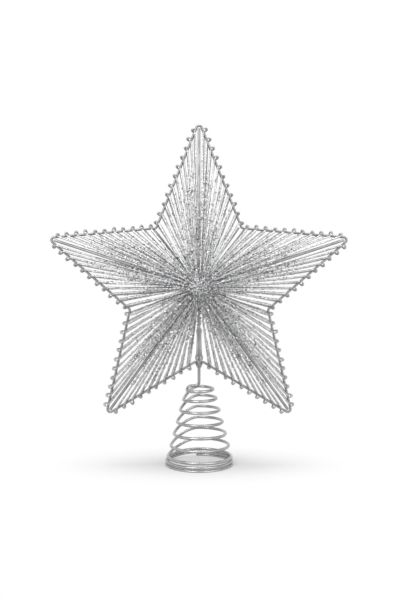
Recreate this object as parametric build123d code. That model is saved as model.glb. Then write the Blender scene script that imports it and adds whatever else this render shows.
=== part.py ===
from build123d import *
import math
import os

# Tree topper star of bent wire on a conical spring, in millimetres.
# The origin is the middle of the spring's foot on the floor, +Z is up and the star's front faces -Y.

# Star outline, as the rim wire's centre line runs
ARM_REACH = 118.7
TOP_ARM_REACH = 123.0
NOTCH_REACH = 54.2
NOTCH_BEND = 2.0
RIM_WIRE = 1.8

# Ridge wires from the hubs to the tips
RIDGE_WIRE = 2.0
TIP_GAP = 0.2

# Glittered winding
STRAND_WIRE = 0.8
STRANDS_PER_SIDE = 11
STRANDS_BESIDE_STEM = 10
FIRST_STRAND_FROM_TIP = 7.5
LAST_STRAND_FROM_NOTCH = 4.0
LAST_STRAND_FROM_STEM = 10.0
LOOP_STAND_OFF = 0.6
LOOP_HALF_STEP = 1.1
LAYERS = 4
RIDGE_SLOTS = 2
NOTCH_SLOTS = 1

# Hubs and what carries them
HUB_INNER_DEPTH = 12.0
HUB_MARGIN = 0.5
HUB_DOME = 1.2
POST_DIAMETER = 4.0
STEM_WIRE = 2.0

# Binding of the rim's ends to the stem
TAIL_LENGTH = 1.9
TAIL_BEND = 1.0
SOLDER_HEIGHT = 3.0
SOLDER_WALL = 0.4

# Neck between the spring and the star
NECK_FREE_LENGTH = 10.7
NECK_BEND = 3.0
NECK_LEAD = 0.5
NECK_MIDDLE_LENGTH = 3.4
NECK_GAP = 0.25

# Conical spring
SPRING_WIRE = 2.0
SPRING_TURNS = 8 + 2 / 3
SPRING_TOP = 59.0
FOOT_RADIUS = 25.0
FOOT_FLAT = 0.5
CLOSED_TURNS = 2
LEVEL_SHARE = 0.72
CLOSED_GAP = 0.5
CLOSED_TAPER = 0.33
OPEN_TURN = 2.2
OPEN_PITCH = 8.9
OPEN_TAPER = 2.33
TOP_TURN = 7.0
TOP_PITCH = 6.8
EASE_TURNS = 0.4
RISE_SHARE = 0.25
RISE_EASE_TURNS = 0.8
RISE_AZIMUTH = 135.0
TOP_END_AZIMUTH = 210.0

# Clearances
SEAT_GAP = 0.1
STRAND_GAP = 0.25

# The arms clockwise from the top, with the names of each one's counterclockwise and clockwise sides
ARMS = {
    "top": ("left", "right"),
    "right": ("upper", "lower"),
    "lower_right": ("outer", "inner"),
    "lower_left": ("inner", "outer"),
    "left": ("lower", "upper"),
}
FRONT, BACK = -1, 1

# Sizes that follow from the above
arm_angle = 360 / len(ARMS)
half_arm_angle = arm_angle / 2
arm_direction = {arm: 90 - n * arm_angle for n, arm in enumerate(ARMS)}
rim_r = RIM_WIRE / 2
ridge_r = RIDGE_WIRE / 2
strand_r = STRAND_WIRE / 2
stem_r = STEM_WIRE / 2
tip_bend = rim_r + ridge_r + TIP_GAP
tail_x = stem_r + SEAT_GAP + rim_r
strand_lift = rim_r + strand_r + SEAT_GAP
slot_angle = arm_angle / (2 * STRANDS_PER_SIDE + RIDGE_SLOTS + NOTCH_SLOTS)
layer_pitch = STRAND_WIRE + STRAND_GAP
strand_end_radius = layer_pitch / (2 * math.sin(math.radians(LAYERS * slot_angle / 2)))
hub_radius = strand_end_radius - STRAND_GAP
ridge_depth = HUB_INNER_DEPTH + HUB_MARGIN + ridge_r
first_layer_depth = ridge_depth + ridge_r + strand_r + STRAND_GAP
hub_outer_depth = first_layer_depth + (LAYERS - 1) * layer_pitch + strand_r + HUB_MARGIN


# Conical spring, wound from the level foot turn up to the curl under the neck
def ramp(x, width):
    """Grows from slope 0 to slope 1 over width, then stays straight."""
    if x <= 0:
        return 0.0
    return x * x / (2 * width) if x < width else x - width / 2


def smooth_step(x):
    x = min(max(x, 0.0), 1.0)
    return x * x * (3 - 2 * x)


def closed_height(turn):
    """Each closed turn lies level, then steps up onto itself at the back."""
    steps = [smooth_step((turn - n - LEVEL_SHARE) / (1 - LEVEL_SHARE)) for n in range(CLOSED_TURNS)]
    return (SPRING_WIRE + CLOSED_GAP) * sum(steps)


def rise_lead(azimuth):
    """How far an open turn's rise, made on its back left and level elsewhere, runs ahead of an even one."""
    past = (math.radians(RISE_AZIMUTH) - azimuth) / (2 * math.pi)
    past -= round(past)
    return smooth_step(past / RISE_SHARE + 0.5) - 0.5 - past


def spring_point(turn):
    """The wire's centre, counted in turns from its end at the foot."""
    azimuth = math.radians(TOP_END_AZIMUTH) + 2 * math.pi * (SPRING_TURNS - turn)
    opened = ramp(turn - OPEN_TURN, EASE_TURNS)
    radius = FOOT_RADIUS - CLOSED_TAPER * turn - (OPEN_TAPER - CLOSED_TAPER) * opened
    lead = rise_lead(azimuth) * smooth_step((turn - OPEN_TURN) / RISE_EASE_TURNS)
    height = SPRING_WIRE / 2 - FOOT_FLAT + closed_height(turn)
    height += OPEN_PITCH * (opened + lead)
    height -= (OPEN_PITCH - TOP_PITCH) * ramp(turn - TOP_TURN, EASE_TURNS)
    return Vector(radius * math.cos(azimuth), radius * math.sin(azimuth), height)


def spring_direction(turn):
    step = 0.02
    return (spring_point(turn + step) - spring_point(turn - step)).normalized()


def biarc(start, start_dir, end, end_dir):
    """Two arcs that leave start along start_dir and reach end along end_dir."""
    v = end - start
    t = start_dir + end_dir
    spread = 2 * (1 - start_dir.dot(end_dir))
    reach = (math.sqrt(v.dot(t) ** 2 + spread * v.dot(v)) - v.dot(t)) / spread
    corner_a = start + start_dir * reach
    corner_b = end - end_dir * reach
    middle = (corner_a + corner_b) * 0.5
    return [
        Edge.make_tangent_arc(start, start_dir, middle),
        Edge.make_tangent_arc(middle, corner_b - corner_a, end),
    ]


neck_start = Vector(-NECK_BEND - NECK_LEAD, 0, SPRING_TOP)
curl_end = neck_start - Vector(SPRING_WIRE, 0, 0)
bend_top = SPRING_TOP + NECK_BEND
solder_bottom = bend_top + NECK_FREE_LENGTH
tail_bottom = solder_bottom + SOLDER_HEIGHT
tip_half_angle = math.atan2(
    NOTCH_REACH * math.sin(math.radians(half_arm_angle)),
    ARM_REACH - NOTCH_REACH * math.cos(math.radians(half_arm_angle)),
)
inner_side_slope = math.tan(math.radians(90 - half_arm_angle) - tip_half_angle)
tail_corner_drop = NOTCH_REACH + tail_x * inner_side_slope
star_middle = tail_bottom + TAIL_LENGTH + tail_corner_drop


def spring_path():
    first_dir = spring_direction(0)
    edges = [Edge.make_line(spring_point(0) - first_dir * SPRING_WIRE, spring_point(0))]
    quarter_turns = [n / 4 for n in range(math.ceil(SPRING_TURNS * 4))]
    turns = quarter_turns + [SPRING_TURNS]
    for a, b in zip(turns, turns[1:]):
        edges += biarc(spring_point(a), spring_direction(a), spring_point(b), spring_direction(b))
    top_dir = spring_direction(SPRING_TURNS)
    edges += biarc(spring_point(SPRING_TURNS), top_dir, curl_end, Vector(1, 0, 0))
    edges.append(Edge.make_line(curl_end, neck_start))
    return Wire(edges)


def tube(path, diameter):
    section = Plane(path @ 0, z_dir=path % 0) * Circle(diameter / 2)
    return sweep(section, path=path)


def least_gap(path, diameter):
    """The least room between the tube's turns, measured on points along its centre line."""
    count = 1600
    points = [tuple(path @ (n / count)) for n in range(count + 1)]
    half_turn = math.pi * 2.5 * diameter
    apart = math.ceil(count * half_turn / path.length)
    pairs = ((a, b) for a in range(count + 1) for b in range(a + apart, count + 1))
    return min(math.dist(points[a], points[b]) for a, b in pairs) - diameter


def coil_spring():
    path = spring_path()
    wire = tube(path, SPRING_WIRE)
    section_times_length = math.pi * (SPRING_WIRE / 2) ** 2 * path.length
    print("spring: least gap to itself", round(least_gap(path, SPRING_WIRE), 3), "mm")
    print("spring: volume over section times length", round(wire.volume / section_times_length, 4))
    return split(wire, bisect_by=Plane.XY, keep=Keep.TOP)


# Neck and stem
def rod(start, end, diameter):
    run = Vector(end) - Vector(start)
    return Solid.make_cylinder(diameter / 2, run.length, Plane(start, z_dir=run))


sway_height = bend_top + (NECK_FREE_LENGTH - NECK_MIDDLE_LENGTH) / 2
nod_height = sway_height + NECK_MIDDLE_LENGTH


def neck_foot():
    top = Vector(0, 0, sway_height - NECK_GAP / 2)
    path = FilletPolyline(neck_start, Vector(0, 0, SPRING_TOP), top, radius=NECK_BEND)
    return tube(path, STEM_WIRE)


def neck_middle():
    return rod((0, 0, sway_height + NECK_GAP / 2), (0, 0, nod_height - NECK_GAP / 2), STEM_WIRE)


def stem_wire():
    top = star_middle - POST_DIAMETER / 2 - SEAT_GAP
    return rod((0, 0, nod_height + NECK_GAP / 2), (0, 0, top), STEM_WIRE)


def solder_cone():
    bore = stem_r + SEAT_GAP
    outline = Polyline(
        (bore, 0, solder_bottom),
        (bore + SOLDER_WALL, 0, solder_bottom),
        (tail_x + rim_r, 0, tail_bottom - SEAT_GAP),
        (bore, 0, tail_bottom - SEAT_GAP),
        close=True,
    )
    return revolve(make_face(outline), Axis.Z)


# Star frame
def in_star(angle, reach, depth=0.0):
    """A point of the star, by its direction and distance from the middle, and its depth along Y."""
    turn = math.radians(angle)
    return Vector(reach * math.cos(turn), depth, star_middle + reach * math.sin(turn))


def arm_reach(arm):
    return TOP_ARM_REACH if arm == "top" else ARM_REACH


def rim_path():
    """From one end beside the stem, round the star, to the other end."""
    corner_z = star_middle - tail_corner_drop
    points = [Vector(tail_x, 0, tail_bottom), Vector(tail_x, 0, corner_z)]
    bends = [TAIL_BEND]
    for arm in ("lower_right", "right", "top", "left", "lower_left"):
        angle = arm_direction[arm]
        points.append(in_star(angle, arm_reach(arm)))
        bends.append(tip_bend)
        if arm != "lower_left":
            points.append(in_star(angle + half_arm_angle, NOTCH_REACH))
            bends.append(NOTCH_BEND)
    points += [Vector(-tail_x, 0, corner_z), Vector(-tail_x, 0, tail_bottom)]
    bends.append(TAIL_BEND)
    return FilletPolyline(*points, radius=bends)


def ridge_wire(arm, face):
    angle = arm_direction[arm]
    notch = in_star(angle + half_arm_angle, NOTCH_REACH)
    tip = in_star(angle, arm_reach(arm))
    half_angle = math.radians((notch - tip).get_angle(in_star(angle, 0) - tip))
    bend_center = arm_reach(arm) - tip_bend / math.sin(half_angle)
    outer = in_star(angle, bend_center, face * (ridge_r + SEAT_GAP / 2))
    inner = in_star(angle, hub_radius + SEAT_GAP, face * ridge_depth)
    return rod(inner, outer, RIDGE_WIRE)


# Glittered winding: one loop round the rim for each pair of strands
def rim_anchors(arm, turn):
    """Where the loops of one side of an arm sit on the rim, the direction along it and the way outward."""
    angle = arm_direction[arm]
    tip = in_star(angle, arm_reach(arm))
    notch = in_star(angle + turn * half_arm_angle, NOTCH_REACH)
    along = (notch - tip).normalized()
    outward = Vector(-along.Z, 0, along.X)
    if outward.dot(tip - in_star(0, 0)) < 0:
        outward = outward * -1
    beside_stem = abs(notch.X) < tail_x
    count = STRANDS_BESIDE_STEM if beside_stem else STRANDS_PER_SIDE
    last_margin = LAST_STRAND_FROM_STEM if beside_stem else LAST_STRAND_FROM_NOTCH
    step = ((notch - tip).length - FIRST_STRAND_FROM_TIP - last_margin) / (count - 1)
    places = [tip + along * (FIRST_STRAND_FROM_TIP + n * step) for n in range(count)]
    return places, along, outward


def loop_end(place, along, outward, face):
    return place + outward * LOOP_STAND_OFF + along * face * LOOP_HALF_STEP + Vector(0, face * strand_lift, 0)


def strand(arm, turn, number, face):
    places, along, outward = rim_anchors(arm, turn)
    layer = (number + (0 if turn > 0 else LAYERS // 2)) % LAYERS
    slot = number + (RIDGE_SLOTS + 1) / 2
    azimuth = arm_direction[arm] + turn * slot * slot_angle
    inner = in_star(azimuth, strand_end_radius, face * (first_layer_depth + layer * layer_pitch))
    outer = loop_end(places[number], along, outward, face)
    run = (outer - inner).normalized()
    return rod(inner, outer - run * strand_r, STRAND_WIRE)


def strands(arm, turn, face):
    places, along, outward = rim_anchors(arm, turn)
    return Compound(children=[strand(arm, turn, n, face) for n in range(len(places))])


def rim_loop(place, along, outward):
    start = loop_end(place, along, outward, FRONT) + outward * SEAT_GAP
    end = loop_end(place, along, outward, BACK) + outward * SEAT_GAP
    path = Wire(biarc(start, outward, end, outward * -1))
    return tube(path, STRAND_WIRE).solid()


def rim_loops(arm, turn):
    places, along, outward = rim_anchors(arm, turn)
    return Compound(children=[rim_loop(place, along, outward) for place in places])


# Hubs under the tangle in the middle
def hub(face):
    body = Solid.make_cylinder(
        hub_radius,
        hub_outer_depth - HUB_INNER_DEPTH,
        Plane(in_star(0, 0, face * HUB_INNER_DEPTH), z_dir=(0, face, 0)),
    )
    rim_edge = body.edges().sort_by(Axis.Y)[0 if face == FRONT else -1]
    return fillet(rim_edge, HUB_DOME)


def hub_post():
    return rod(in_star(0, 0, -HUB_INNER_DEPTH), in_star(0, 0, HUB_INNER_DEPTH), POST_DIAMETER)


def build():
    pieces = {
        "coil_spring": coil_spring(),
        "neck_foot": neck_foot(),
        "neck_middle": neck_middle(),
        "stem_wire": stem_wire(),
        "solder_cone": solder_cone(),
        "rim_wire": tube(rim_path(), RIM_WIRE),
        "front_hub": hub(FRONT),
        "back_hub": hub(BACK),
        "hub_post": hub_post(),
    }
    for arm, sides in ARMS.items():
        pieces[f"front_ridge_wire_{arm}"] = ridge_wire(arm, FRONT)
        pieces[f"back_ridge_wire_{arm}"] = ridge_wire(arm, BACK)
        for side, turn in zip(sides, (1, -1)):
            pieces[f"front_strands_{arm}_{side}"] = strands(arm, turn, FRONT)
            pieces[f"back_strands_{arm}_{side}"] = strands(arm, turn, BACK)
            pieces[f"rim_loops_{arm}_{side}"] = rim_loops(arm, turn)
    return pieces


os.makedirs("parts", exist_ok=True)
for name, piece in build().items():
    export_step(piece, f"parts/{name}.step")
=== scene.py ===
import math

import bmesh
import bpy
import numpy as np
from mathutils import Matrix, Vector

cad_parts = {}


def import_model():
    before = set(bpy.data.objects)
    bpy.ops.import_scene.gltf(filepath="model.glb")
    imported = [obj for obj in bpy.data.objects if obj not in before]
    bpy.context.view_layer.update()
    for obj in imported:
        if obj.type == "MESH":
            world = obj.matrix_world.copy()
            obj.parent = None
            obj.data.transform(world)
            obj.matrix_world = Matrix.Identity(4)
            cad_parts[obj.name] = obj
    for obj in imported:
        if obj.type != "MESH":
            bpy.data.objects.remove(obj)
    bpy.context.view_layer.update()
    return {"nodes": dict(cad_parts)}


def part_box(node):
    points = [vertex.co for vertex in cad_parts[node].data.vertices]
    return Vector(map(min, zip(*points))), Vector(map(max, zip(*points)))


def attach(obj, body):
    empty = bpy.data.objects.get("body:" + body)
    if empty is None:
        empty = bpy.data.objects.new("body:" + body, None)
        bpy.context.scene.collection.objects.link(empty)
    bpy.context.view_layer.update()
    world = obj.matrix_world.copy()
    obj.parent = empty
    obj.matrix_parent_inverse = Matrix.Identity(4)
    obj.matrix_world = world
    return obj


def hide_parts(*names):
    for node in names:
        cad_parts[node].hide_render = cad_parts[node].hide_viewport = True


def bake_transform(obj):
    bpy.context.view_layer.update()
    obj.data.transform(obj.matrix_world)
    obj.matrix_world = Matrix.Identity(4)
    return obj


# Tree topper star of silver wire on a conical spring, dressed over its solids, in metres
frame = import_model()
random = np.random.default_rng(seed=24)

# Each arm's two sides, and the way each face looks along Y
ARM_SIDES = {
    "top": ("left", "right"),
    "right": ("upper", "lower"),
    "lower_right": ("outer", "inner"),
    "lower_left": ("inner", "outer"),
    "left": ("lower", "upper"),
}
FACES = {"front": -1, "back": 1}

# Wire meshes
WIRE_SIDES = 7
OFF_AXIS = (0.31, 0.83, 0.46)
WELD_DISTANCE = 1e-6

# Winding wire: radii at the hub, in its crust and over the rim, and the crust's share by the rim's reach
STRAND_RADIUS = (0.0004, 0.00062, 0.00034)
STRAND_THIN_END = 0.003
CRUST_REACH = (0.055, 0.085)
CRUST_SHARE = (1.8, 1.0)
STRAND_STEP = 0.0015
STRAND_FEWEST_POINTS = 3
STRAND_BOW = 0.0003
STRAND_WAVE = 0.00015
STRAND_HALF_WAVES = 3
PAIR_PINCH = 0.4

# Loops of the winding wire round the rim
LOOP_RADIUS = 0.00105
LOOP_FOOT_RADIUS = 0.0004
LOOP_FOOT_SHARE = 0.1
LOOP_HEIGHT = 0.0028
LOOP_HEIGHT_SPREAD = 0.0007
LOOP_LEAN = 0.0007
LOOP_POINTS = 13

# Grains of glitter on the winding, the ridge wires and the stem
BARE_RUN = (0.0005, 0.005)
GLITTER_REACH = (0.07, 0.096)
GLITTER_EASE = 0.007
GRAIN_STEP = 0.00078
GRAIN_OFFSET = (0.0003, 0.0011)
GRAIN_SIZE = (0.0004, 0.00095)
GRAIN_FLATNESS = 0.55
RIDGE_GRAINS = 160
RIDGE_GRAIN_SHARE = 0.45
RIDGE_GRAIN_CROWDING = 1.5
RIDGE_GRAIN_REACH = 0.0013
STEM_GRAINS = 120
STEM_GRAIN_REACH = 0.0013

# Tangle of wire and grains over each hub
TANGLE_WIRES = 44
TANGLE_WIRE_RADIUS = 0.0004
TANGLE_WIRE_SIDES = 6
TANGLE_REACH = (0.005, 0.015)
TANGLE_NEAREST = (0.0, 0.003)
TANGLE_TURN = math.radians(35)
TANGLE_LIFT = (0.0002, 0.0016)
TANGLE_SLOPE = 0.24
TANGLE_POINTS = 20
HUB_GRAINS = 1000
HUB_GRAIN_REACH = 0.014
HUB_GRAIN_CROWDING = 0.7
HUB_GRAIN_LIFT = (-0.001, 0.0016)
HUB_GRAIN_SIZE = (0.0003, 0.0008)

# Conical spring, as its solid is wound
SPRING_WIRE = 0.002
SPRING_TURNS = 8 + 2 / 3
FOOT_RADIUS = 0.025
FOOT_FLAT = 0.0005
CLOSED_TURNS = 2
LEVEL_SHARE = 0.72
CLOSED_PITCH = 0.0025
CLOSED_TAPER = 0.00033
OPEN_TURN = 2.2
OPEN_PITCH = 0.0089
OPEN_TAPER = 0.00233
TOP_TURN = 7.0
TOP_PITCH = 0.0068
EASE_TURNS = 0.4
RISE_SHARE = 0.25
RISE_EASE_TURNS = 0.8
RISE_AZIMUTH = math.radians(135)
TOP_END_AZIMUTH = math.radians(210)

# Spring and neck as they are drawn: their wire's thickness and mesh counts
DRAWN_WIRE = 0.0022
SPRING_SIDES = 20
POINTS_PER_TURN = 120
SLOPE_STEP = 0.02
CURL_POINTS = 24

# Neck, with its bend onto the spring, its seat in the solder and its mesh counts
NECK_BEND = 0.003
NECK_LEAD = 0.0005
NECK_SEAT = 0.0005
NECK_BEND_POINTS = 20
NECK_RUN_POINTS = 24

# Hairpin's left half: crossing and flare measured from the top of the solder, leg and crown from its own top
HAIRPIN_CROSSING = ((0.0012, -0.0023, -0.0022), (0.0, -0.0029, 0.0008))
HAIRPIN_FLARE = (-0.0021, -0.0016, 0.0042)
HAIRPIN_LEG = (
    (-0.00135, -0.0014, -0.018),
    (-0.001, -0.0014, -0.009),
    (-0.001, -0.0014, -0.0035),
    (-0.0013, -0.0014, -0.0012),
)
HAIRPIN_CROWN = (0.0, -0.0014, 0.0)
HAIRPIN_UNDERPASS = 0.72
HAIRPIN_TOP = 0.1018
HAIRPIN_RADIUS = 0.00082
HAIRPIN_SIDES = 9
HAIRPIN_POINTS = 160

# Finishes
BLUE_SHARE = 1.01
NOISE_SPAN = (0.3, 0.7)
GLOSS_FINENESS = 3
MARK_DETAIL = 5.0
MARK_DEPTH = 0.00005
GRAIN_MARK_SCALE = 2600
GRAIN_MARK_STRENGTH = 0.15
CRUST_SCALE = 1900
CRUST_ROUGHNESS = (0.2, 0.5)
CRUST_STRENGTH = 0.5
CRUST_DEPTH = 0.0002
# Heights where a wire turns from darker below to lighter above: painted light for the shade inside the star
PAINTED_LIGHT_SPAN = (0.0815, 0.09)

# Camera, floor and light
CAMERA_DISTANCE = 0.55
CAMERA_HEIGHT = 0.144
AIM_POINT = (0.0011, 0.0, 0.123)
VIEW_HEIGHT = 0.449
SENSOR = 36.0
CLIP_START = 0.01
FLOOR_REACH = 0.4
FLOOR_TONE = 0.85
FLOOR_ROUGHNESS = 0.9
# Ellipse round the foot where less white goes into the floor: a painted shadow shaped like the real one
SHADOW_SQUEEZE = (0.52, 1, 1)
SHADOW_SPAN = (0.0125, 0.063)
SHADOW_WHITE = (0.33, 1.0)
WORLD_LIGHT = 0.48
LAMP_AIM = (0, 0, 0.12)

# Places read from the solids
hub_low, hub_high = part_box("front_hub")
star_middle = Vector((0, 0, (hub_low.z + hub_high.z) / 2))
hub_radius = (hub_high.x - hub_low.x) / 2
hub_depth = -hub_low.y
spring_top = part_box("coil_spring")[1].z - SPRING_WIRE / 2
sway_height = (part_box("neck_foot")[1].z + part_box("neck_middle")[0].z) / 2
nod_height = (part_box("neck_middle")[1].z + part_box("stem_wire")[0].z) / 2
solder_bottom, solder_top = (corner.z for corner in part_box("solder_cone"))
neck_start = np.array((-NECK_BEND - NECK_LEAD, 0, spring_top))


# Meshes
class Parts:
    """Gathers many small shapes into one mesh."""

    def __init__(self):
        self.vertices = []
        self.faces = []
        self.count = 0

    def add(self, vertices, faces):
        self.vertices.append(vertices)
        self.faces += [[corner + self.count for corner in face] for face in faces]
        self.count += len(vertices)

    def make(self, name, material, smooth=True):
        mesh = bpy.data.meshes.new(name)
        mesh.from_pydata(np.concatenate(self.vertices).tolist(), [], self.faces)
        mesh.polygons.foreach_set("use_smooth", [smooth] * len(mesh.polygons))
        mesh.materials.append(material)
        piece = bpy.data.objects.new(name, mesh)
        bpy.context.scene.collection.objects.link(piece)
        return piece


def tube(points, radius, sides=WIRE_SIDES):
    """Vertices and faces of a wire along points, with one radius or one for each point."""
    points = np.asarray(points, float)
    radius = np.broadcast_to(radius, len(points))[:, None, None]
    tangents = np.gradient(points, axis=0)
    tangents /= np.linalg.norm(tangents, axis=1)[:, None]
    normal = np.cross(tangents[0], OFF_AXIS)
    normals = []
    for tangent in tangents:
        normal = normal - tangent * (normal @ tangent)
        normal = normal / np.linalg.norm(normal)
        normals.append(normal)
    normals = np.array(normals)
    binormals = np.cross(tangents, normals)
    turn = np.arange(sides)[None, :, None] * 2 * math.pi / sides
    rings = np.cos(turn) * normals[:, None] + np.sin(turn) * binormals[:, None]
    vertices = (points[:, None] + radius * rings).reshape(-1, 3)
    faces = [list(range(sides))[::-1]]
    for ring in range(len(points) - 1):
        low = ring * sides
        for a in range(sides):
            b = (a + 1) % sides
            faces.append([low + a, low + b, low + sides + b, low + sides + a])
    last = (len(points) - 1) * sides
    faces.append(list(range(last, last + sides)))
    return vertices, faces


def curve_through(points, count):
    """A smooth line through a few points."""
    points = np.asarray(points, float)
    spans = len(points) - 1
    padded = np.vstack([2 * points[0] - points[1], points, 2 * points[-1] - points[-2]])
    line = []
    for place in np.linspace(0, spans, count):
        span = min(int(place), spans - 1)
        t = place - span
        a, b, c, d = padded[span:span + 4]
        square, cube = 2 * a - 5 * b + 4 * c - d, 3 * b - a - 3 * c + d
        line.append(0.5 * (2 * b + (c - a) * t + square * t**2 + cube * t**3))
    return np.array(line)


def grains(places, smallest, largest):
    """Vertices and faces of one faceted grain at each place, each turned its own way."""
    count = len(places)
    corners = np.array([[1, 0, 0], [-1, 0, 0], [0, 1, 0], [0, -1, 0], [0, 0, 1], [0, 0, -1]], float)
    facets = [[0, 2, 4], [2, 1, 4], [1, 3, 4], [3, 0, 4], [2, 0, 5], [1, 2, 5], [3, 1, 5], [0, 3, 5]]
    size = random.uniform(smallest, largest, (count, 1, 3))
    size[:, :, 2] *= GRAIN_FLATNESS
    w, x, y, z = np.moveaxis(random.normal(size=(count, 4)), 1, 0)
    length = np.sqrt(w * w + x * x + y * y + z * z)
    w, x, y, z = w / length, x / length, y / length, z / length
    turned = np.array([
        [1 - 2 * (y * y + z * z), 2 * (x * y - w * z), 2 * (x * z + w * y)],
        [2 * (x * y + w * z), 1 - 2 * (x * x + z * z), 2 * (y * z - w * x)],
        [2 * (x * z - w * y), 2 * (y * z + w * x), 1 - 2 * (x * x + y * y)],
    ])
    shaped = np.einsum("ijn,nkj->nki", turned, corners[None] * size)
    vertices = (shaped + np.asarray(places)[:, None]).reshape(-1, 3)
    faces = [[corner + len(corners) * n for corner in facet] for n in range(count) for facet in facets]
    return vertices, faces


# Materials
def material_with(name, metallic=1.0):
    material = bpy.data.materials.new(name)
    material.use_nodes = True
    shader = material.node_tree.nodes["Principled BSDF"]
    shader.inputs["Metallic"].default_value = metallic
    return material, material.node_tree, shader


def grey(value):
    """A neutral silver, a touch on the cool side."""
    return (value, value, value * BLUE_SHARE)


def place_of(tree):
    return tree.nodes.new("ShaderNodeTexCoord").outputs["Object"]


def noise_of(tree, scale, detail=3.0):
    noise = tree.nodes.new("ShaderNodeTexNoise")
    noise.inputs["Scale"].default_value = scale
    noise.inputs["Detail"].default_value = detail
    tree.links.new(place_of(tree), noise.inputs["Vector"])
    return noise.outputs["Fac"]


def range_of(tree, source, span, result=(0.0, 1.0), easing="LINEAR"):
    """Takes source from the two ends of span to the two ends of result."""
    mapped = tree.nodes.new("ShaderNodeMapRange")
    mapped.interpolation_type = easing
    mapped.inputs["From Min"].default_value = span[0]
    mapped.inputs["From Max"].default_value = span[1]
    mapped.inputs["To Min"].default_value = result[0]
    mapped.inputs["To Max"].default_value = result[1]
    tree.links.new(source, mapped.inputs["Value"])
    return mapped.outputs["Result"]


def colour_by(tree, shader, source, tones, span=NOISE_SPAN):
    """Base colour from the dark to the light tone over span."""
    tree.links.new(ramp_of(tree, source, grey(tones[0]), grey(tones[1]), span), shader.inputs["Base Color"])


def gloss_by(tree, shader, source, roughness, span=NOISE_SPAN):
    """Roughness from the first to the second value over span."""
    low, high = ((value, value, value) for value in roughness)
    tree.links.new(ramp_of(tree, source, low, high, span), shader.inputs["Roughness"])


def ramp_of(tree, source, low, high, span):
    ramp = tree.nodes.new("ShaderNodeValToRGB")
    for element, position, colour in zip(ramp.color_ramp.elements, span, (low, high)):
        element.position = position
        element.color = (*colour, 1)
    tree.links.new(source, ramp.inputs["Fac"])
    return ramp.outputs["Color"]


def bump_by(tree, shader, height, strength, distance):
    bump = tree.nodes.new("ShaderNodeBump")
    bump.inputs["Strength"].default_value = strength
    bump.inputs["Distance"].default_value = distance
    tree.links.new(height, bump.inputs["Height"])
    tree.links.new(bump.outputs["Normal"], shader.inputs["Normal"])


def wire_metal(name, tones, roughness, mottle=140, mark_scale=3600, mark_strength=0.2,
               metallic=1.0, painted_light_above=False):
    """Drawn wire: plating mottled, or darker at its lower end and lighter above, the lighter upper part
    being painted light for the shade inside the star; with uneven gloss and fine marks.
    """
    material, tree, shader = material_with(name, metallic)
    # Lighter above the span: painted light where the wire sits in the star's shade
    if painted_light_above:
        split = tree.nodes.new("ShaderNodeSeparateXYZ")
        tree.links.new(place_of(tree), split.inputs["Vector"])
        height = range_of(tree, split.outputs["Z"], PAINTED_LIGHT_SPAN)
        colour_by(tree, shader, height, tones, span=(0.0, 1.0))
    else:
        colour_by(tree, shader, noise_of(tree, mottle), tones)
    gloss_by(tree, shader, noise_of(tree, mottle * GLOSS_FINENESS), roughness)
    bump_by(tree, shader, noise_of(tree, mark_scale, MARK_DETAIL), mark_strength, MARK_DEPTH)
    return material


def glitter_metal(name, tones, roughness):
    """Grains that differ from each other in tone and gloss."""
    material, tree, shader = material_with(name)
    island = tree.nodes.new("ShaderNodeNewGeometry").outputs["Random Per Island"]
    colour_by(tree, shader, island, tones, span=(0.1, 0.9))
    gloss_by(tree, shader, island, roughness, span=(0.2, 0.8))
    bump_by(tree, shader, noise_of(tree, GRAIN_MARK_SCALE), GRAIN_MARK_STRENGTH, MARK_DEPTH)
    return material


def crusted_metal(name, tones):
    """Wire under a fine crust of glitter."""
    material, tree, shader = material_with(name)
    cells = tree.nodes.new("ShaderNodeTexVoronoi")
    cells.inputs["Scale"].default_value = CRUST_SCALE
    tree.links.new(place_of(tree), cells.inputs["Vector"])
    tone = tree.nodes.new("ShaderNodeSeparateColor")
    tree.links.new(cells.outputs["Color"], tone.inputs["Color"])
    colour_by(tree, shader, tone.outputs["Red"], tones, span=(0.1, 0.9))
    gloss_by(tree, shader, tone.outputs["Green"], CRUST_ROUGHNESS)
    bump_by(tree, shader, cells.outputs["Distance"], CRUST_STRENGTH, CRUST_DEPTH)
    return material


BRIGHT_DRAWN = {"mottle": 90, "mark_scale": 5000, "mark_strength": 0.06}
nickel = wire_metal("bright_nickel", tones=(0.34, 0.47), roughness=(0.2, 0.3), **BRIGHT_DRAWN)
# The neck is the spring's own wire in a darker copy of its nickel: painted shade
neck_nickel_painted_shade = wire_metal("neck_nickel_painted_shade", tones=(0.28, 0.38), roughness=(0.25, 0.35), **BRIGHT_DRAWN)
rim_silver = wire_metal("rim_silver", tones=(0.26, 0.36), roughness=(0.3, 0.46))
ridge_silver = wire_metal("ridge_silver", tones=(0.27, 0.4), roughness=(0.3, 0.44))
# Stem and hairpin: lighter above their lower end, which is painted light for the shade inside the star
stem_silver = wire_metal("stem_silver", tones=(0.36, 0.8), roughness=(0.6, 0.75),
                         metallic=0.5, painted_light_above=True)
hairpin_silver = wire_metal("hairpin_silver", tones=(0.4, 0.6), roughness=(0.65, 0.8), painted_light_above=True)
strand_silver = crusted_metal("strand_silver", tones=(0.36, 0.7))
loop_silver = wire_metal("loop_silver", tones=(0.47, 0.58), roughness=(0.75, 0.88),
                         mottle=400, mark_strength=0.3)
grain_silver = glitter_metal("glitter_grains", tones=(0.16, 0.94), roughness=(0.56, 0.36))
tangle_silver = crusted_metal("tangle_silver", tones=(0.1, 0.7))
hub_silver = crusted_metal("hub_glitter", tones=(0.08, 0.42))


# Winding: each wire runs from the front hub over the rim and back to the other hub
def reach_of(point):
    return math.hypot(point[0], point[2] - star_middle.z)


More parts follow.
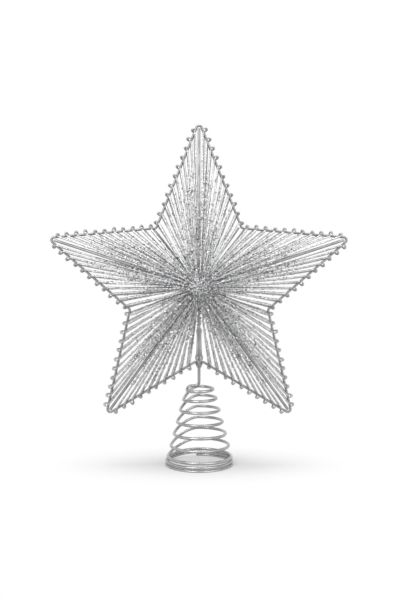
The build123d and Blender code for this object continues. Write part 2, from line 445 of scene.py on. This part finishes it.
def runs_of(node):
    """The straight runs in a node, each as its hub end and its rim end, from the arm's tip inward."""
    mesh = bmesh.new()
    mesh.from_mesh(frame["nodes"][node].data)
    bmesh.ops.remove_doubles(mesh, verts=mesh.verts, dist=WELD_DISTANCE)
    unseen = set(mesh.verts)
    runs = []
    while unseen:
        waiting = [min(unseen, key=lambda vertex: vertex.index)]
        unseen.discard(waiting[0])
        found = []
        while waiting:
            vertex = waiting.pop()
            found.append(vertex.co[:])
            for edge in vertex.link_edges:
                other = edge.other_vert(vertex)
                if other in unseen:
                    unseen.discard(other)
                    waiting.append(other)
        cloud = np.array(found)
        centre = (cloud.max(0) + cloud.min(0)) / 2
        axis = np.linalg.svd(cloud - cloud.mean(0), full_matrices=False)[2][0]
        along = (cloud - centre) @ axis
        ends = [centre + axis * along.min(), centre + axis * along.max()]
        runs.append(sorted(ends, key=reach_of))
    mesh.free()
    return sorted(runs, key=lambda run: -reach_of(run[1]))


def bowed_run(start, end):
    """A wire that is not quite straight."""
    length = np.linalg.norm(end - start)
    places = np.linspace(0, 1, max(STRAND_FEWEST_POINTS, round(length / STRAND_STEP)))[:, None]
    bow = random.normal(size=3) * STRAND_BOW
    wave = random.normal(size=3) * STRAND_WAVE
    offset = np.sin(math.pi * places) * bow + np.sin(STRAND_HALF_WAVES * math.pi * places) * wave
    return start + (end - start) * places + offset


def strand_radius(line):
    """The wire swells with its crust towards the rim, more near a notch, and is bare over the rim."""
    length = np.linalg.norm(line[-1] - line[0])
    at_hub, crusted, over_rim = STRAND_RADIUS
    crusted *= np.interp(reach_of(line[-1]), CRUST_REACH, CRUST_SHARE)
    places = (0, length - STRAND_THIN_END, length)
    return np.interp(np.linspace(0, length, len(line)), places, (at_hub, crusted, over_rim))


def loop_radius():
    """The loop is thin at its two feet and swells with crust between them."""
    places = np.linspace(-LOOP_FOOT_SHARE, 1 + LOOP_FOOT_SHARE, LOOP_POINTS + 2)
    swell = np.sin(math.pi * np.clip(places, 0, 1))**2
    return LOOP_FOOT_RADIUS + (LOOP_RADIUS - LOOP_FOOT_RADIUS) * swell


def rim_arch(front_run_end, front_foot, back_foot, back_run_end, outward, along):
    """The wire's loop round the rim, from the end of the front run to the end of the back run."""
    height = outward * (LOOP_HEIGHT + random.uniform(-1, 1) * LOOP_HEIGHT_SPREAD)
    lean = along * random.uniform(-1, 1) * LOOP_LEAN
    a, b = front_foot + height + lean, back_foot + height + lean
    t = np.linspace(0, 1, LOOP_POINTS)[:, None]
    arch = (1 - t)**3 * front_foot + 3 * (1 - t)**2 * t * a + 3 * (1 - t) * t**2 * b + t**3 * back_foot
    return np.vstack([front_run_end, arch, back_run_end])


def glitter_places(line):
    """Where grains sit along a wire that starts at the hub: none near the rim or far out on an arm."""
    hub_end, rim_end = line[0], line[-1]
    length = np.linalg.norm(rim_end - hub_end)
    bare = max(random.uniform(*BARE_RUN), reach_of(rim_end) - random.uniform(*GLITTER_REACH))
    count = round(length / GRAIN_STEP)
    from_rim = random.uniform(0, length, count)
    covered = np.clip((from_rim - bare) / GLITTER_EASE, 0, 1)
    from_rim = from_rim[random.uniform(size=count) < covered]
    share = 1 - from_rim / length
    along = np.linspace(0, 1, len(line))
    places = np.stack([np.interp(share, along, line[:, k]) for k in range(3)], axis=1)
    direction = (rim_end - hub_end) / length
    aside = random.normal(size=places.shape)
    aside -= (aside @ direction)[:, None] * direction
    aside /= np.linalg.norm(aside, axis=1)[:, None]
    return places + aside * random.uniform(*GRAIN_OFFSET, (len(places), 1))


def ridge_glitter(face, arm):
    """Where grains sit round a ridge wire, more and more towards the hub."""
    (hub_end, tip_end), = runs_of(f"{face}_ridge_wire_{arm}")
    run = tip_end - hub_end
    share = RIDGE_GRAIN_SHARE * random.uniform(0, 1, (RIDGE_GRAINS, 1))**RIDGE_GRAIN_CROWDING
    aside = random.normal(size=(RIDGE_GRAINS, 3))
    aside -= np.outer(aside @ run, run) / (run @ run)
    aside /= np.linalg.norm(aside, axis=1)[:, None]
    return hub_end + run * share + aside * RIDGE_GRAIN_REACH


def winding(arm, side):
    """The strands and loops of one side of an arm. Their grains' places go into glitter."""
    flank = f"{arm}_{side}"
    fronts = runs_of(f"front_strands_{flank}")
    backs = runs_of(f"back_strands_{flank}")
    anchors = [(front[1] + back[1]) / 2 for front, back in zip(fronts, backs)]
    along = anchors[-1] - anchors[0]
    along /= np.linalg.norm(along)
    outward = np.array((-along[2], 0, along[0]))
    outward *= math.copysign(1, outward @ (anchors[0] - np.array(star_middle)))
    wires, loops = Parts(), Parts()
    for front, back in zip(fronts, backs):
        pinch = along * ((back[1] - front[1]) @ along) / 2 * PAIR_PINCH
        front_line = bowed_run(front[0], front[1] + pinch)
        back_line = bowed_run(back[0], back[1] - pinch)
        arch = rim_arch(front_line[-1], front[1], back[1], back_line[-1], outward, along)
        loops.add(*tube(arch, loop_radius()))
        for face, line in zip(FACES, (front_line, back_line)):
            wires.add(*tube(line, strand_radius(line)))
            glitter.setdefault((face, arm), []).append(glitter_places(line))
    piece = wires.make(f"strands_{flank}", strand_silver)
    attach(piece, "star")
    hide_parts(f"front_strands_{flank}", f"back_strands_{flank}")
    piece = loops.make(f"loops_{flank}", loop_silver)
    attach(piece, "star")
    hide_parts(f"rim_loops_{flank}")


glitter = {}
for arm, sides in ARM_SIDES.items():
    for side in sides:
        winding(arm, side)

for (face, arm), places in glitter.items():
    places.append(ridge_glitter(face, arm))
    crust = Parts()
    crust.add(*grains(np.concatenate(places), *GRAIN_SIZE))
    piece = crust.make(f"glitter_{face}_{arm}", grain_silver, smooth=False)
    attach(piece, "star")


# Tangle of wire and glitter over each hub
def tangle_depth(reach):
    return hub_depth - TANGLE_SLOPE * np.maximum(reach - hub_radius, 0)


def tangle_wire(face):
    """A wire that comes in between the strands, crosses the hub near its middle and goes out again."""
    start = random.uniform(0, 2 * math.pi)
    end = start + math.pi + random.normal() * TANGLE_TURN
    reach = random.uniform(*TANGLE_REACH, 2)
    side = random.uniform(0, 2 * math.pi)
    nearest = random.uniform(*TANGLE_NEAREST)
    bends = ((reach[0], start), (nearest, side), (reach[1], end))
    line = curve_through([(r * math.cos(a), r * math.sin(a)) for r, a in bends], TANGLE_POINTS)
    lift = random.uniform(*TANGLE_LIFT) * np.sin(math.pi * np.linspace(0, 1, TANGLE_POINTS))
    depth = tangle_depth(np.linalg.norm(line, axis=1)) + lift
    return np.stack([line[:, 0], face * depth, star_middle.z + line[:, 1]], axis=1)


def hub_tangle(face_name, face):
    wires = Parts()
    for _ in range(TANGLE_WIRES):
        wires.add(*tube(tangle_wire(face), TANGLE_WIRE_RADIUS, TANGLE_WIRE_SIDES))
    piece = wires.make(f"hub_tangle_{face_name}", tangle_silver)
    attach(piece, "star")
    azimuth = random.uniform(0, 2 * math.pi, HUB_GRAINS)
    reach = HUB_GRAIN_REACH * random.uniform(0, 1, HUB_GRAINS)**HUB_GRAIN_CROWDING
    depth = tangle_depth(reach) + random.uniform(*HUB_GRAIN_LIFT, HUB_GRAINS)
    aside, up = reach * np.cos(azimuth), reach * np.sin(azimuth)
    crust = Parts()
    crust.add(*grains(np.stack([aside, face * depth, star_middle.z + up], axis=1), *HUB_GRAIN_SIZE))
    piece = crust.make(f"glitter_hub_{face_name}", grain_silver, smooth=False)
    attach(piece, "star")


for face_name, face in FACES.items():
    hub_tangle(face_name, face)


# Stem: hairpin beside it, crossed in front of it at the notch, and glitter above
def hairpin():
    """Both halves are alike, but at the crossing the right one passes under the left."""
    notch, top = np.array((0, 0, solder_top)), np.array((0, 0, HAIRPIN_TOP))
    left = np.vstack([HAIRPIN_CROSSING + notch, HAIRPIN_FLARE + notch, HAIRPIN_LEG + top])
    right = left * (-1, 1, 1)
    right[:len(HAIRPIN_CROSSING), 1] *= HAIRPIN_UNDERPASS
    line = curve_through(np.vstack([left, HAIRPIN_CROWN + top, right[::-1]]), HAIRPIN_POINTS)
    wires = Parts()
    wires.add(*tube(line, HAIRPIN_RADIUS, HAIRPIN_SIDES))
    piece = wires.make("stem_hairpin", hairpin_silver)
    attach(piece, "star")


def stem_glitter():
    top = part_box("stem_wire")[1].z
    height = random.uniform(HAIRPIN_TOP, top, STEM_GRAINS)
    azimuth = random.uniform(0, 2 * math.pi, STEM_GRAINS)
    aside, ahead = STEM_GRAIN_REACH * np.cos(azimuth), STEM_GRAIN_REACH * np.sin(azimuth)
    crust = Parts()
    crust.add(*grains(np.stack([aside, ahead, height], axis=1), *GRAIN_SIZE))
    piece = crust.make("glitter_stem", grain_silver, smooth=False)
    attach(piece, "star")


hairpin()
stem_glitter()


# Conical spring
def eased_line(x, width):
    """Grows from slope 0 to slope 1 over width, then stays straight."""
    if x <= 0:
        return 0.0
    return x * x / (2 * width) if x < width else x - width / 2


def smooth_step(x):
    x = min(max(x, 0.0), 1.0)
    return x * x * (3 - 2 * x)


def closed_height(turn):
    """Each closed turn lies level, then steps up onto itself at the back."""
    steps = [smooth_step((turn - n - LEVEL_SHARE) / (1 - LEVEL_SHARE)) for n in range(CLOSED_TURNS)]
    return CLOSED_PITCH * sum(steps)


def rise_lead(azimuth):
    """How far an open turn's rise, made on its back left and level elsewhere, runs ahead of an even one."""
    past = (RISE_AZIMUTH - azimuth) / (2 * math.pi)
    past -= round(past)
    return smooth_step(past / RISE_SHARE + 0.5) - 0.5 - past


def spring_point(turn):
    azimuth = TOP_END_AZIMUTH + 2 * math.pi * (SPRING_TURNS - turn)
    opened = eased_line(turn - OPEN_TURN, EASE_TURNS)
    radius = FOOT_RADIUS - CLOSED_TAPER * turn - (OPEN_TAPER - CLOSED_TAPER) * opened
    lead = rise_lead(azimuth) * smooth_step((turn - OPEN_TURN) / RISE_EASE_TURNS)
    height = SPRING_WIRE / 2 - FOOT_FLAT + closed_height(turn)
    height += OPEN_PITCH * (opened + lead)
    height -= (OPEN_PITCH - TOP_PITCH) * eased_line(turn - TOP_TURN, EASE_TURNS)
    return np.array((radius * math.cos(azimuth), radius * math.sin(azimuth), height))


def spring_direction(turn):
    ahead = spring_point(turn + SLOPE_STEP) - spring_point(turn - SLOPE_STEP)
    return ahead / np.linalg.norm(ahead)


def arc(start, direction, end, count):
    """Points of the arc that leaves start along direction and reaches end, without start itself."""
    chord = end - start
    length = np.linalg.norm(chord)
    half = math.acos(direction @ chord / length)
    aside = chord - direction * (direction @ chord)
    aside /= np.linalg.norm(aside)
    radius = length / (2 * math.sin(half))
    turn = np.linspace(0, 2 * half, count)[1:, None]
    return start + radius * (np.sin(turn) * direction + (1 - np.cos(turn)) * aside)


def biarc(start, start_dir, end, end_dir, count):
    """Two arcs that leave start along start_dir and arrive at end along end_dir."""
    span, both = end - start, start_dir + end_dir
    spread = 2 * (1 - start_dir @ end_dir)
    reach = (math.sqrt((span @ both)**2 + spread * (span @ span)) - span @ both) / spread
    corner_a, corner_b = start + start_dir * reach, end - end_dir * reach
    middle = (corner_a + corner_b) / 2
    across = (corner_b - corner_a) / np.linalg.norm(corner_b - corner_a)
    return np.vstack([arc(start, start_dir, middle, count), arc(middle, across, end, count)])


def coil_spring():
    """The spring's wire, flat under its foot, with a curl at the top that leads into the neck."""
    first = spring_point(0) - spring_direction(0) * SPRING_WIRE
    turns = np.linspace(0, SPRING_TURNS, round(SPRING_TURNS * POINTS_PER_TURN))
    coil = np.array([first] + [spring_point(turn) for turn in turns])
    curl_end = neck_start - (SPRING_WIRE, 0, 0)
    curl = biarc(coil[-1], spring_direction(SPRING_TURNS), curl_end, np.array((1.0, 0, 0)), CURL_POINTS)
    wire = Parts()
    vertices, faces = tube(np.vstack([coil, curl, neck_start]), DRAWN_WIRE / 2, SPRING_SIDES)
    vertices[:, 2] = np.maximum(vertices[:, 2], 0)
    wire.add(vertices, faces)
    piece = wire.make("spring_wire", nickel)
    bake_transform(piece)
    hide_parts("coil_spring")


# Neck: looks like one wire, and is parted in the middle of neck_middle, where nothing bends
def neck():
    part_height = (sway_height + nod_height) / 2
    upright = np.array((0, 0, 1.0))
    bend_start = np.array((-NECK_BEND, 0, spring_top))
    bend_end = np.array((0, 0, spring_top + NECK_BEND))
    bend = arc(bend_start, np.array((1.0, 0, 0)), bend_end, NECK_BEND_POINTS)
    rise = bend[-1] + upright * np.linspace(0, part_height - bend[-1][2], NECK_RUN_POINTS)[1:, None]
    lower = Parts()
    lower.add(*tube(np.vstack([neck_start, bend_start, bend, rise]), DRAWN_WIRE / 2, SPRING_SIDES))
    piece = lower.make("neck_wire_lower", neck_nickel_painted_shade)
    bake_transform(piece)
    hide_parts("neck_foot", "neck_middle")
    seated = upright * np.linspace(part_height, solder_bottom + NECK_SEAT, NECK_RUN_POINTS)[:, None]
    upper = Parts()
    upper.add(*tube(seated, DRAWN_WIRE / 2, SPRING_SIDES))
    piece = upper.make("neck_wire_upper", neck_nickel_painted_shade)
    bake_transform(piece)


coil_spring()
neck()

# Finish of the solids that stay as they are
kept = {"rim_wire": rim_silver, "solder_cone": ridge_silver, "stem_wire": stem_silver}
kept.update({"front_hub": hub_silver, "back_hub": hub_silver, "hub_post": ridge_silver})
kept.update({f"{face}_ridge_wire_{arm}": ridge_silver for face in FACES for arm in ARM_SIDES})
for node, material in kept.items():
    frame["nodes"][node].data.materials.clear()
    frame["nodes"][node].data.materials.append(material)


# White floor and backdrop, soft lamps and the camera
def joined(tree, operation, a, b):
    both = tree.nodes.new("ShaderNodeMath")
    both.operation = operation
    tree.links.new(a, both.inputs[0])
    tree.links.new(b, both.inputs[1])
    return both.outputs["Value"]


def white_for(tree):
    """1 for the rays that see a white backdrop: the camera's own, mirrored and transmitted ones."""
    rays = tree.nodes.new("ShaderNodeLightPath").outputs
    mirrored = joined(tree, "MAXIMUM", rays["Is Camera Ray"], rays["Is Glossy Ray"])
    return joined(tree, "MAXIMUM", mirrored, rays["Is Transmission Ray"])


def floor_finish():
    """Pale round the foot in an ellipse shaped like the star's shadow, a painted shadow over the real one
    that shows through there, and white like the backdrop further out.
    """
    material, tree, shader = material_with("white_floor", metallic=0.0)
    shader.inputs["Roughness"].default_value = FLOOR_ROUGHNESS
    shader.inputs["Specular IOR Level"].default_value = 0.0
    shader.inputs["Base Color"].default_value = (FLOOR_TONE, FLOOR_TONE, FLOOR_TONE, 1)
    # Less white near the foot, in the shadow's shape: painted shadow over the real lamp shadow
    squeezed = tree.nodes.new("ShaderNodeVectorMath")
    squeezed.operation = "MULTIPLY"
    squeezed.inputs[1].default_value = SHADOW_SQUEEZE
    tree.links.new(place_of(tree), squeezed.inputs[0])
    distance = tree.nodes.new("ShaderNodeVectorMath")
    distance.operation = "LENGTH"
    tree.links.new(squeezed.outputs["Vector"], distance.inputs[0])
    fade = range_of(tree, distance.outputs["Value"], SHADOW_SPAN, SHADOW_WHITE, easing="SMOOTHSTEP")
    white = tree.nodes.new("ShaderNodeEmission")
    mix = tree.nodes.new("ShaderNodeMixShader")
    tree.links.new(joined(tree, "MULTIPLY", fade, white_for(tree)), mix.inputs["Fac"])
    tree.links.new(shader.outputs["BSDF"], mix.inputs[1])
    tree.links.new(white.outputs["Emission"], mix.inputs[2])
    tree.links.new(mix.outputs["Shader"], tree.nodes["Material Output"].inputs["Surface"])
    return material


def floor():
    mesh = bpy.data.meshes.new("floor")
    corners = [(FLOOR_REACH * x, FLOOR_REACH * y, 0) for x, y in ((-1, -1), (1, -1), (1, 1), (-1, 1))]
    mesh.from_pydata(corners, [], [[0, 1, 2, 3]])
    mesh.materials.append(floor_finish())
    piece = bpy.data.objects.new("floor", mesh)
    bpy.context.scene.collection.objects.link(piece)


def world():
    """White backdrop all round, which lights the object at a lower level."""
    scene_world = bpy.data.worlds.new("studio")
    bpy.context.scene.world = scene_world
    scene_world.use_nodes = True
    tree = scene_world.node_tree
    mix = tree.nodes.new("ShaderNodeMix")
    mix.data_type = "RGBA"
    mix.inputs["A"].default_value = (*grey(WORLD_LIGHT), 1)
    mix.inputs["B"].default_value = (1, 1, 1, 1)
    tree.links.new(white_for(tree), mix.inputs["Factor"])
    tree.links.new(mix.outputs["Result"], tree.nodes["Background"].inputs["Color"])


def lamp(name, place, width, depth, watts):
    data = bpy.data.lights.new(name, "AREA")
    data.shape = "RECTANGLE"
    data.size = width
    data.size_y = depth
    data.energy = watts
    light = bpy.data.objects.new(name, data)
    light.location = place
    light.rotation_euler = (Vector(LAMP_AIM) - Vector(place)).to_track_quat("-Z", "Y").to_euler()
    bpy.context.scene.collection.objects.link(light)


def camera():
    data = bpy.data.cameras.new("camera")
    place = Vector((0, -CAMERA_DISTANCE, CAMERA_HEIGHT))
    aim = Vector(AIM_POINT) - place
    data.sensor_width = SENSOR
    data.lens = SENSOR * aim.length / VIEW_HEIGHT
    data.clip_start = CLIP_START
    view = bpy.data.objects.new("camera", data)
    view.location = place
    view.rotation_euler = aim.to_track_quat("-Z", "Y").to_euler()
    bpy.context.scene.collection.objects.link(view)
    bpy.context.scene.camera = view


floor()
world()
lamp("key", place=(-0.5, -0.9, 0.7), width=0.6, depth=0.6, watts=5)
lamp("fill", place=(0.7, -0.9, 0.5), width=0.7, depth=0.7, watts=3)
lamp("top", place=(0.0, 0.03, 1.1), width=0.6, depth=0.25, watts=4)
camera()
bpy.context.scene.view_settings.view_transform = "Standard"
